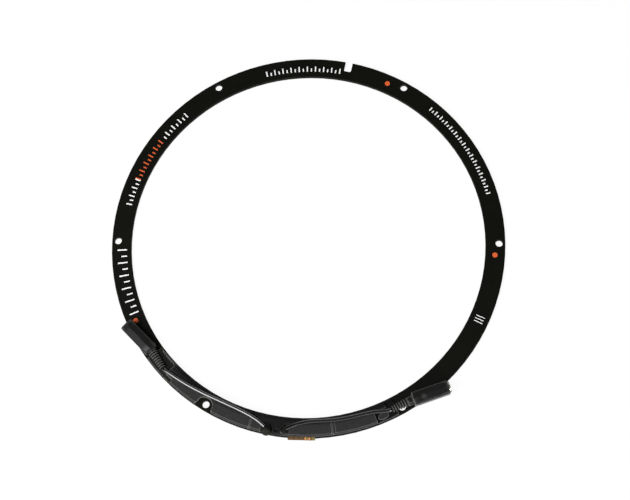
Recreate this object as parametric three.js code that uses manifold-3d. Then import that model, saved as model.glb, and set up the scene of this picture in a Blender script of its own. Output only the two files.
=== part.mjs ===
// Dew heater ring for a telescope with a 235 mm aperture.
// A flat ring plate carries a heating foil on its rear face. A moulded cover in
// three lengths hides the wiring on its front face, and two short leads come
// out of the cover and end in moulded jacks.
// Millimetres, +Z out of the front face. The origin is the centre of the rear face.
import * as THREE from "three";
import { mergeVertices } from "three/addons/utils/BufferGeometryUtils.js";
import Module from "manifold-3d";

const wasm = await Module();
wasm.setup();

// Ring plate
const ringInnerRadius = 117.5;
const ringWidth = 13;
const ringOuterRadius = ringInnerRadius + ringWidth;
const ringThickness = 3;
const ringFrontBevel = 0.4;
const ringRearBevel = 0.2;
const screwCircleInset = 4.1;
const screwCircleRadius = ringOuterRadius - screwCircleInset;
const screwHoleRadius = 2.4;
const screwCount = 6;
const slotAngle = 78.6;
const slotWidth = 5;
const slotDepth = 6.8;
const slotCornerRadius = 1;

// Heating foil on the rear face, with a tail that folds round the rim
const foilMargin = 1.6;
const foilWidth = 3.9;
const foilInnerRadius = ringInnerRadius + foilMargin;
const foilOuterRadius = foilInnerRadius + foilWidth;
const foilThickness = 0.25;
const trackThickness = 0.15;
const trackWidth = 0.9;
const trackMargin = 0.5;
const rearFloat = 0.05;
const tailAngle = 269.55;
const tailWidth = 17.5;
const tailReach = 1.1;
const tailBendRadius = 1.1;
const tailTopLength = 8.6;
const trackLegOffset = 5.2;
const trackLegGap = 2.6;

// Cover, all heights above the plate
const coverInnerMargin = 0.8;
const coverOuterMargin = 0.5;
const coverInnerRadius = ringInnerRadius + coverInnerMargin;
const coverOuterRadius = ringOuterRadius - coverOuterMargin;
const coverHeight = 3.8;
const coverWall = 1.2;
const coverOuterBevel = 0.9;
const coverInnerBevel = 1.6;
const coverInnerDrop = 1.2;
const flangeHeight = 1.2;
const flangeBevel = 0.35;
const rimLipHeight = 2.6;
const rimLipWidth = 1.1;
const flangeStart = 217.9;
const lipStart = 219.1;
const raisedStart = 225.2;
const raisedOuterStart = 227.9;
const leftCornerInset = 2.65;
const leftCornerRadius = coverOuterRadius - leftCornerInset;
const leftSeam = 254.4;
const seamGap = 0.3;
const rightSeam = 278.4;
const rightJointEnd = 279.4;
const jointDrop = 0.5;
const raisedOuterEnd = 291.7;
const raisedEnd = 295.7;
const rightCornerReach = 4.4;
const rightCornerRadius = coverInnerRadius + rightCornerReach;
const flangeEnd = 298.2;
const padAngle = 293.9;
const padInset = 3.3;
const padRadius = coverOuterRadius - padInset;
const padHalfLength = 3.8;
const padHalfWidth = 2.1;
const padHeight = 0.7;
const dimpleAngle = 262.2;
const dimpleRadius = 0.9;
const dimpleDepth = 0.4;

// Notch in the left cover, round the plate's screw hole at 240 degrees
const notchHoleIndex = 4;
const notchInnerReach = 3.6;
const notchHalfWidth = 5;
const notchFlare = 4.4;
const notchFlareStart = 3.6;

// Screws that hold the cover, put in from the rear
const coverScrewAngles = [232.5, 248.5, 256.6, 276.6, 283.5, 288.5];
const coverScrewShankRadius = 0.75;
const coverScrewHeadRadius = 1.9;
const coverScrewHeadHeight = 1.15;
const coverScrewBite = 2;
const coverScrewSink = 0.1;
const coverScrewSocketRadius = 0.6;
const coverScrewSocketDepth = 0.6;
const bossRadius = 2.2;

// Leads and the glands that they come out of
const leadDiameter = 2.6;
const leadStepDiameters = 2.2;
const coreRadius = 0.45;
const leftCoreOffsets = [1.6, 3];
const leftLaneReaches = [3.1, 1.4];
const rightCoreOffsets = [1, -1];
const coreBendShare = 0.6;
const glandHoodRadius = 3.1;
const glandFlangeRadius = 3.3;
const glandFlangeHeight = 0.4;
const glandMouthReach = 1.4;
const glandMouthDepth = 1;
const glandHoodSink = 0.8;
const glandMouthLift = 0.5;
const leftGland = { inset: 2.8, angle: 259.4, heading: 139.9 };
const rightGland = { inset: 3.6, angle: 264.6, heading: 23.5 };
const leftStemRadius = 3.4;
const leftStemReach = 1;
const leftStemBevel = 0.5;
const rightStemRadius = 1.7;
const rightStemLip = 0.35;
const rightStemLipHeight = 0.4;

// Terminal board and temperature sensor under the centre cover
const boardStart = 266.4;
const boardEnd = 274.9;
const boardInnerMargin = 2.1;
const boardOuterMargin = 1.4;
const boardInnerRadius = coverInnerRadius + boardInnerMargin;
const boardOuterRadius = coverOuterRadius - boardOuterMargin;
const boardThickness = 1;
const sensorAngle = 276.3;
const sensorMargin = 3.3;
const sensorRadius = coverInnerRadius + sensorMargin;
const sensorBeadRadius = 0.85;
const sensorBeadHalfLength = 1.5;
const sensorLegWidth = 0.4;
const sensorLegSpread = 0.9;

// Moulded jacks on the ends of the leads
const jackWidth = 8.8;
const jackHeight = 9.2;
const jackLength = 24.2;
const jackSideHeight = 6.2;
const jackEdgeBevel = 0.9;
const jackRoofDrop = 0.55;
const jackEndBevel = 0.5;
const jackAxisHeight = 8;
const boreDepth = 15;
const sleeveOuterRadius = 3.6;
const sleeveWall = 0.7;
const insulatorLength = 3;
const contactRadius = 1;
const contactSetback = 2.5;
const reliefRibs = 7;
const reliefRibDepth = 0.75;
const reliefRootRadius = 3.3;
const reliefTailRadius = 2.3;
const ribCrestStart = 0.2;
const ribCrestEnd = 0.5;
const ribFootStart = 0.7;
const leftJack = {
  x: -99.4, y: -75.4, heading: 135.4, reliefHeading: 124.8, reliefLength: 13.9, proud: -0.4, shoulder: 0,
};
const rightJack = {
  x: 69.9, y: -105.7, heading: 20.2, reliefHeading: 26.3, reliefLength: 14.5, proud: 1.2, shoulder: 1.6,
};

// Gap where a piece is cut by its neighbour, and how far cutting tools overrun
const clearance = 0.3;
const overrun = 1;

// Smoothness
const ringSegments = 96;
const trackSegments = 48;
const roundSegments = 18;
const smallSegments = 10;
const cornerSegments = 5;
const reliefSegments = 14;
const weldDistance = 1e-4;
const leadSides = 8;
const coreSides = 6;
const coreSteps = 6;

// Route of each lead's centre line, from its gland to its jack
const leftRoute = [
  [-23.93, -124.58, 8.6], [-25.5, -123.25, 8.6], [-28.6, -120.7, 8.6], [-31.5, -118.75, 8.5],
  [-34.5, -117.0, 8.4], [-37.4, -115.45, 8.32], [-40.4, -114.0, 8.3],
  [-44.3, -112.2, 8.3], [-48.25, -110.45, 8.3], [-52.5, -108.55, 8.3], [-56.8, -106.65, 8.3],
  [-61.1, -104.8, 8.3], [-65.3, -102.85, 8.3], [-69.3, -100.9, 8.3], [-73.25, -98.85, 8.3],
  [-76.6, -97.0, 8.3], [-79.9, -95.05, 8.3], [-83.0, -93.1, 8.3], [-86.0, -91.1, 8.28],
  [-88.7, -89.35, 8.2], [-90.15, -88.35, 8.1], [-91.1, -87.3, 8.02],
];
const rightRoute = [
  [-11.26, -125.56, 8.6], [-9.4, -124.75, 8.6], [-7.0, -123.75, 8.6],
  [-4.5, -122.8, 8.5], [-1.75, -121.9, 8.38],
  [2.3, -120.95, 8.3], [6.5, -120.4, 8.3], [10.3, -120.15, 8.3], [14.2, -119.95, 8.3],
  [18.3, -119.6, 8.3], [22.45, -119.1, 8.3], [26.3, -118.45, 8.3], [30.1, -117.65, 8.3],
  [33.9, -116.7, 8.3], [37.7, -115.7, 8.3], [41.5, -114.75, 8.3], [45.3, -113.95, 8.28],
  [48.5, -113.6, 8.25], [51.7, -113.3, 8.18], [54.2, -112.95, 8.1], [56.35, -112.35, 8.02],
];

const degrees = THREE.MathUtils.degToRad;

function polar(radius, angle, z = 0) {
  const turn = degrees(angle);
  return new THREE.Vector3(radius * Math.cos(turn), radius * Math.sin(turn), z);
}

function glandRadius(gland) {
  return coverOuterRadius - gland.inset;
}

function leftStemCentre() {
  return glandRadius(leftGland) + leftStemReach;
}

function arcDegrees(length, radius) {
  return THREE.MathUtils.radToDeg(length / radius);
}

// Conversions between three.js geometry and boolean solids
function solid(geometry) {
  const bare = geometry.clone();
  bare.deleteAttribute("normal");
  bare.deleteAttribute("uv");
  const merged = mergeVertices(bare, weldDistance);
  const vertProperties = new Float32Array(merged.attributes.position.array);
  const triVerts = new Uint32Array(merged.index.array);
  return new wasm.Manifold(new wasm.Mesh({ numProp: 3, vertProperties, triVerts }));
}

function geometryOf(body) {
  const mesh = body.getMesh();
  const geometry = new THREE.BufferGeometry();
  geometry.setAttribute("position", new THREE.BufferAttribute(mesh.vertProperties, 3));
  geometry.setIndex(new THREE.BufferAttribute(mesh.triVerts, 1));
  geometry.computeVertexNormals();
  return geometry;
}

// Basic solids: a revolved profile, a flat shape given thickness, and a piece of a ring
function turnedGeometry(points, segments) {
  const profile = points.map(([r, z]) => new THREE.Vector2(r, z));
  return new THREE.LatheGeometry(profile, segments).rotateX(Math.PI / 2);
}

function turned(points, segments) {
  return solid(turnedGeometry(points, segments));
}

function ringOf(points) {
  return turned([...points, points[0]], ringSegments);
}

function prismGeometry(shape, low, high, curveSegments = cornerSegments) {
  const options = { depth: high - low, bevelEnabled: false, curveSegments };
  return new THREE.ExtrudeGeometry(shape, options).translate(0, 0, low);
}

function sector(inner, outer, from, to, low, high, segments = ringSegments) {
  const shape = new THREE.Shape();
  shape.absarc(0, 0, outer, degrees(from), degrees(to), false);
  shape.absarc(0, 0, inner, degrees(to), degrees(from), true);
  const steps = Math.max(2, Math.ceil((Math.abs(to - from) * segments) / 360));
  return solid(prismGeometry(shape, low, high, steps));
}

function wedge(from, to) {
  const top = ringThickness + coverHeight + overrun;
  return sector(ringInnerRadius - overrun, ringOuterRadius + overrun, from, to, -overrun, top);
}

function cylinder(radius, low, high, segments = roundSegments) {
  return turned([[0, low], [radius, low], [radius, high], [0, high]], segments);
}

function cylinderAt(place, radius, low, high, segments = roundSegments) {
  return cylinder(radius, low, high, segments).translate([place.x, place.y, 0]);
}

// A geometry built on the X axis, turned to a heading and moved to its place
function faceAlong(geometry, heading, place) {
  return geometry.rotateZ(degrees(heading)).translate(place.x, place.y, place.z);
}

// A round bar along a smooth curve through the given points
function rod(points, radius, sides, steps) {
  const section = new THREE.Shape();
  for (let i = 0; i < sides; i += 1) {
    const turn = (2 * Math.PI * (i + 0.5)) / sides;
    const corner = [radius * Math.cos(turn), radius * Math.sin(turn)];
    if (i === 0) {
      section.moveTo(...corner);
    } else {
      section.lineTo(...corner);
    }
  }
  const path = new THREE.CatmullRomCurve3(points, false, "centripetal");
  return new THREE.ExtrudeGeometry(section, { steps, extrudePath: path, bevelEnabled: false });
}

// Ring plate with its screw holes, index slot and rear recess
function slotShape() {
  const half = slotWidth / 2;
  const corner = ringOuterRadius - slotDepth + slotCornerRadius;
  const mouth = ringOuterRadius + overrun;
  const shape = new THREE.Shape();
  shape.moveTo(mouth, half);
  shape.lineTo(corner, half);
  shape.absarc(corner, half - slotCornerRadius, slotCornerRadius, Math.PI / 2, Math.PI, false);
  shape.absarc(corner, slotCornerRadius - half, slotCornerRadius, Math.PI, 1.5 * Math.PI, false);
  shape.lineTo(mouth, -half);
  return shape;
}

const trackLow = rearFloat;
const foilLow = trackLow + trackThickness;
const foilHigh = foilLow + foilThickness;

function tailChannel() {
  const half = tailWidth / 2 + clearance;
  const shape = new THREE.Shape();
  shape.moveTo(foilOuterRadius - overrun, -half);
  shape.lineTo(ringOuterRadius + overrun, -half);
  shape.lineTo(ringOuterRadius + overrun, half);
  shape.lineTo(foilOuterRadius - overrun, half);
  const geometry = prismGeometry(shape, -overrun, foilHigh).rotateZ(degrees(tailAngle));
  return solid(geometry);
}

function coverScrewHole(angle) {
  const hole = coverScrewShankRadius + clearance;
  const mouth = coverScrewHeadRadius + clearance;
  const seat = coverScrewSink + coverScrewHeadHeight;
  const profile = [[0, -overrun], [mouth, -overrun], [mouth, coverScrewSink], [hole, seat],
    [hole, ringThickness + overrun], [0, ringThickness + overrun]];
  const place = polar(screwCircleRadius, angle);
  return turned(profile, roundSegments).translate([place.x, place.y, 0]);
}

function ringPlate() {
  const front = ringThickness;
  let plate = ringOf([
    [ringInnerRadius + ringRearBevel, 0], [ringOuterRadius - ringRearBevel, 0],
    [ringOuterRadius, ringRearBevel], [ringOuterRadius, front - ringFrontBevel],
    [ringOuterRadius - ringFrontBevel, front], [ringInnerRadius + ringFrontBevel, front],
    [ringInnerRadius, front - ringFrontBevel], [ringInnerRadius, ringRearBevel],
  ]);
  const recessInner = foilInnerRadius - clearance;
  const recessOuter = foilOuterRadius + clearance;
  plate = plate.subtract(ringOf([
    [recessInner, -overrun], [recessOuter, -overrun], [recessOuter, foilHigh], [recessInner, foilHigh],
  ]));
  plate = plate.subtract(tailChannel());
  for (let i = 0; i < screwCount; i += 1) {
    const place = polar(screwCircleRadius, (360 / screwCount) * i);
    plate = plate.subtract(cylinderAt(place, screwHoleRadius, -overrun, front + overrun));
  }
  const slot = prismGeometry(slotShape(), -overrun, front + overrun).rotateZ(degrees(slotAngle));
  plate = plate.subtract(solid(slot));
  for (const angle of coverScrewAngles) {
    plate = plate.subtract(coverScrewHole(angle));
  }
  return geometryOf(plate);
}

// A strip folded round the rim: out under the plate, up past its edge and back over its face
function foldedStrip(inset, thickness, width, from, offset) {
  const outer = ringOuterRadius + tailReach + inset;
  const low = foilLow - inset;
  const high = ringThickness + foilThickness + inset;
  const bend = tailBendRadius + inset;
  const end = ringOuterRadius - tailTopLength;
  const shape = new THREE.Shape();
  shape.moveTo(from, low);
  shape.absarc(outer - bend, low + bend, bend, -Math.PI / 2, 0, false);
  shape.absarc(outer - bend, high - bend, bend, 0, Math.PI / 2, false);
  shape.lineTo(end, high);
  shape.lineTo(end, high - thickness);
  shape.absarc(outer - bend, high - bend, bend - thickness, Math.PI / 2, 0, true);
  shape.absarc(outer - bend, low + bend, bend - thickness, 0, -Math.PI / 2, true);
  shape.lineTo(from, low + thickness);
  // The profile lies in X and Y: stand it up so that Y becomes height
  const geometry = prismGeometry(shape, offset - width / 2, offset + width / 2);
  return solid(geometry.rotateX(Math.PI / 2).rotateZ(degrees(tailAngle)));
}

function heaterFoil() {
  const band = ringOf([
    [foilInnerRadius, foilLow], [foilOuterRadius, foilLow],
    [foilOuterRadius, foilHigh], [foilInnerRadius, foilHigh],
  ]);
  const tail = foldedStrip(0, foilThickness, tailWidth, foilOuterRadius - overrun, 0);
  return geometryOf(band.add(tail));
}

// One conductor that runs out along the outer lane, turns round and comes back along the inner one
function heatingTrack() {
  const outerLane = foilOuterRadius - trackMargin;
  const innerLane = foilInnerRadius + trackMargin;
  const legDegrees = arcDegrees(trackLegGap, foilOuterRadius);
  const outerStart = tailAngle + arcDegrees(trackLegOffset, foilOuterRadius);
  const innerStart = outerStart - legDegrees;
  const end = tailAngle - arcDegrees(trackLegOffset, foilOuterRadius) + 360;
  const half = arcDegrees(trackWidth / 2, foilOuterRadius);
  const lane = (low, high, from, to) => sector(low, high, from, to, trackLow, foilLow, trackSegments);
  const leg = (offset, from) => foldedStrip(trackThickness, trackThickness, trackWidth, from, offset);
  const track = lane(outerLane - trackWidth, outerLane, outerStart - half, end)
    .add(lane(innerLane, innerLane + trackWidth, innerStart - half, end))
    .add(lane(innerLane, outerLane, end - 2 * half, end))
    .add(leg(-trackLegOffset, outerLane - trackWidth / 2))
    .add(leg(trackLegGap - trackLegOffset, innerLane + trackWidth / 2));
  return geometryOf(track);
}

// Cover mouldings: shells open to the plate, cut from shared ring profiles
const plateTop = ringThickness;
const coverTop = plateTop + coverHeight;
const coverCeiling = coverTop - coverWall;
const flangeTop = plateTop + flangeHeight;

function raisedRing() {
  return ringOf([
    [coverInnerRadius, plateTop], [coverOuterRadius, plateTop],
    [coverOuterRadius, coverTop - coverOuterBevel], [coverOuterRadius - coverOuterBevel, coverTop],
    [coverInnerRadius + coverInnerBevel, coverTop], [coverInnerRadius, coverTop - coverInnerDrop],
  ]);
}

function hollowRing() {
  const inner = coverInnerRadius + coverWall;
  const outer = coverOuterRadius - coverWall;
  return ringOf([
    [inner, plateTop - overrun], [outer, plateTop - overrun],
    [outer, coverCeiling - coverOuterBevel / 2], [outer - coverOuterBevel / 2, coverCeiling],
    [inner + coverInnerBevel / 2, coverCeiling], [inner, coverCeiling - coverInnerDrop / 2],
  ]);
}

function flangeRing() {
  return ringOf([
    [coverInnerRadius, plateTop], [coverOuterRadius, plateTop],
    [coverOuterRadius, flangeTop - flangeBevel], [coverOuterRadius - flangeBevel, flangeTop],
    [coverInnerRadius + flangeBevel, flangeTop], [coverInnerRadius, flangeTop - flangeBevel],
  ]);
}

// The hollow between two angles, one wall inside the ends
function hollowBetween(from, to) {
  const inset = arcDegrees(coverWall, screwCircleRadius);
  return hollowRing().intersect(wedge(from + inset, to - inset));
}

function bossAt(angle) {
  return cylinderAt(polar(screwCircleRadius, angle), bossRadius, plateTop - 2 * overrun, coverTop);
}

function pilotAt(angle) {
  const top = plateTop + coverScrewBite + clearance;
  const hole = coverScrewShankRadius + clearance;
  return cylinderAt(polar(screwCircleRadius, angle), hole, plateTop - overrun, top);
}

function withBosses(shell, hollow, angles) {
  let cavity = hollow;
  for (const angle of angles) {
    cavity = cavity.subtract(bossAt(angle));
  }
  let moulding = shell.subtract(cavity);
  for (const angle of angles) {
    moulding = moulding.subtract(pilotAt(angle));
  }
  return moulding;
}

// A notch that is open to the rim: round at its inner end, with straight walls and flared lips
function notch(grow) {
  const reach = notchInnerReach + grow;
  const half = notchHalfWidth + grow;
  const rim = ringOuterRadius - screwCircleRadius + overrun;
  const lip = half + notchFlare;
  const shape = new THREE.Shape();
  shape.moveTo(rim, lip);
  shape.quadraticCurveTo(notchFlareStart, half, 0, half);
  shape.absellipse(0, 0, reach, half, Math.PI / 2, 1.5 * Math.PI, false, 0);
  shape.quadraticCurveTo(notchFlareStart, -half, rim, -lip);
  const angle = (360 / screwCount) * notchHoleIndex;
  const geometry = prismGeometry(shape, plateTop - 2 * overrun, coverTop + overrun, smallSegments);
  return solid(geometry.translate(screwCircleRadius, 0, 0).rotateZ(degrees(angle)));
}

function aboveFlange(inner, outer, from, to) {
  return sector(inner, outer, from, to, flangeTop, coverTop + overrun);
}

function leftCover() {
  const end = leftSeam - arcDegrees(seamGap / 2, screwCircleRadius);
  const outer = coverOuterRadius + overrun;
  const step = arcDegrees(coverWall, screwCircleRadius);
  let shell = raisedRing().intersect(wedge(raisedStart, end));
  shell = shell.subtract(aboveFlange(leftCornerRadius, outer, raisedStart - overrun, raisedOuterStart));
  shell = shell.add(flangeRing().intersect(wedge(flangeStart, raisedStart + step / 2)));
  const lipTop = plateTop + rimLipHeight;
  const lipOuter = coverInnerRadius + rimLipWidth;
  shell = shell.add(sector(coverInnerRadius, lipOuter, lipStart, raisedStart + step / 2, plateTop, lipTop));
  let hollow = hollowBetween(raisedStart, end);
  hollow = hollow.subtract(sector(leftCornerRadius - coverWall, outer, raisedStart - overrun,
    raisedOuterStart + step, plateTop - 2 * overrun, coverTop));
  hollow = hollow.subtract(notch(coverWall));
  const moulding = withBosses(shell, hollow, coverScrewAngles.slice(0, 2));
  return geometryOf(moulding.subtract(notch(0)));
}

function centreCover() {
  const halfGap = arcDegrees(seamGap / 2, screwCircleRadius);
  const from = leftSeam + halfGap;
  const shell = raisedRing().intersect(wedge(from, rightSeam));
  const hollow = hollowBetween(from, rightSeam);
  let moulding = withBosses(shell, hollow, coverScrewAngles.slice(2, 4));
  const leftPlace = polar(leftStemCentre(), leftGland.angle);
  moulding = moulding.subtract(
    cylinderAt(leftPlace, leftStemRadius + clearance, plateTop - overrun, coverTop + overrun),
  );
  const rightPlace = polar(glandRadius(rightGland), rightGland.angle);
  moulding = moulding.subtract(
    cylinderAt(rightPlace, rightStemRadius + clearance, coverCeiling - overrun, coverTop + overrun),
  );
  const dimplePlace = polar(glandRadius(leftGland), dimpleAngle);
  moulding = moulding.subtract(
    cylinderAt(dimplePlace, dimpleRadius, coverTop - dimpleDepth, coverTop + overrun, smallSegments),
  );
  // The foil's tail comes in through a low slot in the outer wall
  const half = tailWidth / 2 + clearance;
  const slotTop = plateTop + foilThickness + trackThickness + clearance;
  const slot = new THREE.Shape();
  slot.moveTo(coverOuterRadius - 2 * coverWall, -half);
  slot.lineTo(coverOuterRadius + overrun, -half);
  slot.lineTo(coverOuterRadius + overrun, half);
  slot.lineTo(coverOuterRadius - 2 * coverWall, half);
  const slotGeometry = prismGeometry(slot, plateTop - overrun, slotTop).rotateZ(degrees(tailAngle));
  return geometryOf(moulding.subtract(solid(slotGeometry)));
}

function padShape() {
  const shape = new THREE.Shape();
  shape.absellipse(0, 0, padHalfWidth, padHalfLength, 0, 2 * Math.PI, false, 0);
  return shape;
}

function rightCover() {
  const from = rightSeam + arcDegrees(seamGap, screwCircleRadius);
  const outer = coverOuterRadius + overrun;
  const step = arcDegrees(coverWall, screwCircleRadius);
  let shell = raisedRing().intersect(wedge(from, raisedEnd));
  shell = shell.subtract(aboveFlange(rightCornerRadius, outer, raisedOuterEnd, raisedEnd + overrun));
  shell = shell.subtract(sector(ringInnerRadius - overrun, outer, from - overrun, rightJointEnd,
    coverTop - jointDrop, coverTop + overrun));
  shell = shell.add(flangeRing().intersect(wedge(raisedEnd - step / 2, flangeEnd)));
  const pad = prismGeometry(padShape(), plateTop, flangeTop + padHeight, roundSegments);
  pad.translate(padRadius, 0, 0).rotateZ(degrees(padAngle));
  shell = shell.add(solid(pad));
  let hollow = hollowBetween(from, raisedEnd);
  hollow = hollow.subtract(sector(rightCornerRadius - coverWall, outer, raisedOuterEnd - step,
    raisedEnd + overrun, plateTop - 2 * overrun, coverTop));
  return geometryOf(withBosses(shell, hollow, coverScrewAngles.slice(4)));
}

function coverScrew(angle) {
  const low = coverScrewSink;
  const seat = low + coverScrewHeadHeight;
  const tip = plateTop + coverScrewBite;
  const socketTop = low + coverScrewSocketDepth;
  const profile = [[0, socketTop], [coverScrewSocketRadius, socketTop], [coverScrewSocketRadius, low],
    [coverScrewHeadRadius, low], [coverScrewShankRadius, seat], [coverScrewShankRadius, tip], [0, tip]];
  const place = polar(screwCircleRadius, angle);
  return turnedGeometry(profile, smallSegments).translate(place.x, place.y, 0);
}

// Glands: a rounded rubber hood whose mouth holds the lead's end
function hood(gland) {
  const base = coverTop;
  const mouthHeight = base + leadDiameter / 2 + glandMouthLift;
  const dome = new THREE.SphereGeometry(glandHoodRadius, roundSegments, smallSegments);
  const body = solid(dome.translate(0, 0, base + glandHoodSink))
    .add(cylinder(glandFlangeRadius, base, base + glandFlangeHeight));
  const far = 3 * glandHoodRadius;
  const below = new THREE.BoxGeometry(2 * far, 2 * far, far).translate(0, 0, base - far / 2);
  const front = new THREE.BoxGeometry(far, 2 * far, far)
    .translate(glandMouthReach + far / 2, 0, base + glandFlangeHeight + far / 2);
  const mouth = new THREE.CylinderGeometry(leadDiameter / 2 + clearance, leadDiameter / 2 + clearance,
    2 * glandMouthDepth, roundSegments).rotateZ(Math.PI / 2)
    .translate(glandMouthReach, 0, mouthHeight);
  const cut = body.subtract(solid(below)).subtract(solid(front)).subtract(solid(mouth));
  const place = polar(glandRadius(gland), gland.angle);
  return cut.rotate([0, 0, gland.heading]).translate([place.x, place.y, 0]);
}

function leftGlandPiece() {
  const place = polar(leftStemCentre(), leftGland.angle);
  const bevelled = leftStemRadius - leftStemBevel;
  const stem = turned([[0, plateTop], [bevelled, plateTop], [leftStemRadius, plateTop + leftStemBevel],
    [leftStemRadius, coverTop - leftStemBevel], [bevelled, coverTop], [0, coverTop]], roundSegments);
  return geometryOf(hood(leftGland).add(stem.translate([place.x, place.y, 0])));
}

function rightGlandPiece() {
  const place = polar(glandRadius(rightGland), rightGland.angle);
  const lipTop = coverCeiling - clearance;
  const lipLow = lipTop - rightStemLipHeight;
  const lip = rightStemRadius + rightStemLip;
  const stem = turned([[0, lipLow], [lip, lipLow], [lip, lipTop], [rightStemRadius, lipTop],
    [rightStemRadius, coverTop], [0, coverTop]], roundSegments);
  return geometryOf(hood(rightGland).add(stem.translate([place.x, place.y, 0])));
}

// Wiring under the centre cover
const boardLow = plateTop + foilThickness + trackThickness;
const boardHigh = boardLow + boardThickness;

function terminalBoard() {
  return geometryOf(sector(boardInnerRadius, boardOuterRadius, boardStart, boardEnd, boardLow, boardHigh));
}

// A core runs from its gland to the board's edge, and bends into its lane on the way
function core(radius, angle, height, lane) {
  const end = boardStart - arcDegrees(clearance, boardInnerRadius);
  const level = (boardLow + boardHigh) / 2;
  const points = [];
  for (let i = 0; i <= coreSteps; i += 1) {
    const share = i / coreSteps;
    const bend = THREE.MathUtils.smoothstep(share, 0, coreBendShare);
    const { lerp } = THREE.MathUtils;
    points.push(polar(lerp(radius, lane, bend), lerp(angle, end, share), lerp(height, level, bend)));
  }
  return rod(points, coreRadius, coreSides, coreSteps);
}

function leftCore(index) {
  const offset = leftCoreOffsets[index];
  const radius = leftStemCentre() - offset;
  const reach = leftStemRadius + clearance + coreRadius;
  const across = Math.sqrt(reach ** 2 - offset ** 2);
  const level = (boardLow + boardHigh) / 2;
  const angle = leftGland.angle + arcDegrees(across, radius);
  return core(radius, angle, level, boardInnerRadius + leftLaneReaches[index]);
}

function rightCore(index) {
  const stemLow = coverCeiling - clearance - rightStemLipHeight;
  const lane = glandRadius(rightGland) + rightCoreOffsets[index];
  return core(lane, rightGland.angle, stemLow - clearance - coreRadius, lane);
}

function thermistor() {
  const height = plateTop + clearance + sensorBeadRadius;
  const bead = new THREE.SphereGeometry(sensorBeadRadius, smallSegments, smallSegments)
    .scale(1, sensorBeadHalfLength / sensorBeadRadius, 1)
    .translate(sensorRadius, 0, height).rotateZ(degrees(sensorAngle));
  const reach = boardEnd + arcDegrees(clearance, boardInnerRadius);
  let body = solid(bead);
  for (const side of [-1, 1]) {
    const middle = sensorRadius + (side * sensorLegSpread) / 2;
    const half = sensorLegWidth / 2;
    body = body.add(sector(middle - half, middle + half, reach, sensorAngle, height - half, height + half));
  }
  return geometryOf(body);
}

// Jacks, built along X from the shoulder at zero to the mouth
function jackSection() {
  const side = jackWidth / 2;
  const top = jackHeight / 2;
  const wall = jackSideHeight / 2;
  const roof = top - jackRoofDrop;
  const shape = new THREE.Shape();
  shape.moveTo(side, -wall);
  shape.lineTo(side, wall);
  shape.lineTo(side - jackEdgeBevel, roof);
  shape.lineTo(0, top);
  shape.lineTo(jackEdgeBevel - side, roof);
  shape.lineTo(-side, wall);
  shape.lineTo(-side, -wall);
  shape.lineTo(jackEdgeBevel - side, -roof);
  shape.lineTo(0, -top);
  shape.lineTo(side - jackEdgeBevel, -roof);
  return shape;
}

function reliefProfile(length) {
  const pitch = length / reliefRibs;
  const points = [[0, 0]];
  for (let i = 0; i < reliefRibs; i += 1) {
    const start = i * pitch;
    const crest = reliefTailRadius + ((reliefRootRadius - reliefTailRadius) * (i + 0.5)) / reliefRibs;
    points.push([crest - reliefRibDepth / 3, start]);
    points.push([crest, start + ribCrestStart * pitch]);
    points.push([crest, start + ribCrestEnd * pitch]);
    points.push([crest - reliefRibDepth, start + ribFootStart * pitch]);
  }
  points.push([reliefRootRadius - reliefRibDepth, length + overrun]);
  points.push([0, length + overrun]);
  return points;
}

function jackBody(jack) {
  const options = { depth: jackLength - 2 * jackEndBevel, bevelEnabled: true, bevelSegments: 1,
    bevelThickness: jackEndBevel, bevelSize: jackEndBevel, bevelOffset: -jackEndBevel, curveSegments: 1 };
  const block = new THREE.ExtrudeGeometry(jackSection(), options).translate(0, 0, jackEndBevel);
  // The section lies in X and Y: lay its length along X, with its height upright
  let body = solid(block.rotateZ(Math.PI / 2).rotateY(Math.PI / 2));
  const reach = Math.hypot(jackWidth, jackHeight);
  if (jack.shoulder > 0) {
    const cone = turnedGeometry([[0, 0], [jackWidth / 2 - jack.shoulder / 2, 0],
      [jackWidth / 2 + jack.shoulder / 2, 2 * jack.shoulder], [reach, 3 * jack.shoulder],
      [reach, jackLength], [0, jackLength]], roundSegments);
    body = body.intersect(solid(cone.rotateY(Math.PI / 2)));
  }
  const boreRadius = sleeveOuterRadius + clearance;
  const floor = jackLength - boreDepth;
  const mouth = jackLength + overrun;
  const hole = [[0, floor], [boreRadius, floor], [boreRadius, mouth], [0, mouth]];
  const bore = turnedGeometry(hole, roundSegments);
  body = body.subtract(solid(bore.rotateY(Math.PI / 2)));
  const place = new THREE.Vector3(jack.x, jack.y, jackAxisHeight);
  body = body.rotate([0, 0, jack.heading]).translate([place.x, place.y, place.z]);
  // The ribbed relief leaves the shoulder at its own heading, bent by the lead
  const relief = turnedGeometry(reliefProfile(jack.reliefLength), reliefSegments)
    .rotateY(Math.PI / 2).translate(-jack.reliefLength, 0, 0);
  return geometryOf(body.add(solid(faceAlong(relief, jack.reliefHeading, place))));
}

function inJack(jack, profile, segments) {
  const geometry = turnedGeometry(profile, segments).rotateY(Math.PI / 2);
  return faceAlong(geometry, jack.heading, new THREE.Vector3(jack.x, jack.y, jackAxisHeight));
}

function jackSleeve(jack) {
  const inner = sleeveOuterRadius - sleeveWall;
  const low = jackLength - boreDepth + clearance;
  const high = jackLength + jack.proud;
  return inJack(jack, [[inner, low], [sleeveOuterRadius, low], [sleeveOuterRadius, high],
    [inner, high], [inner, low]], roundSegments);
}

function jackInsulator(jack) {
  const outer = sleeveOuterRadius - sleeveWall - clearance;
  const inner = contactRadius + clearance;
  const low = jackLength - boreDepth + clearance;
  return inJack(jack, [[inner, low], [outer, low], [outer, low + insulatorLength],
    [inner, low + insulatorLength], [inner, low]], roundSegments);
}

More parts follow.
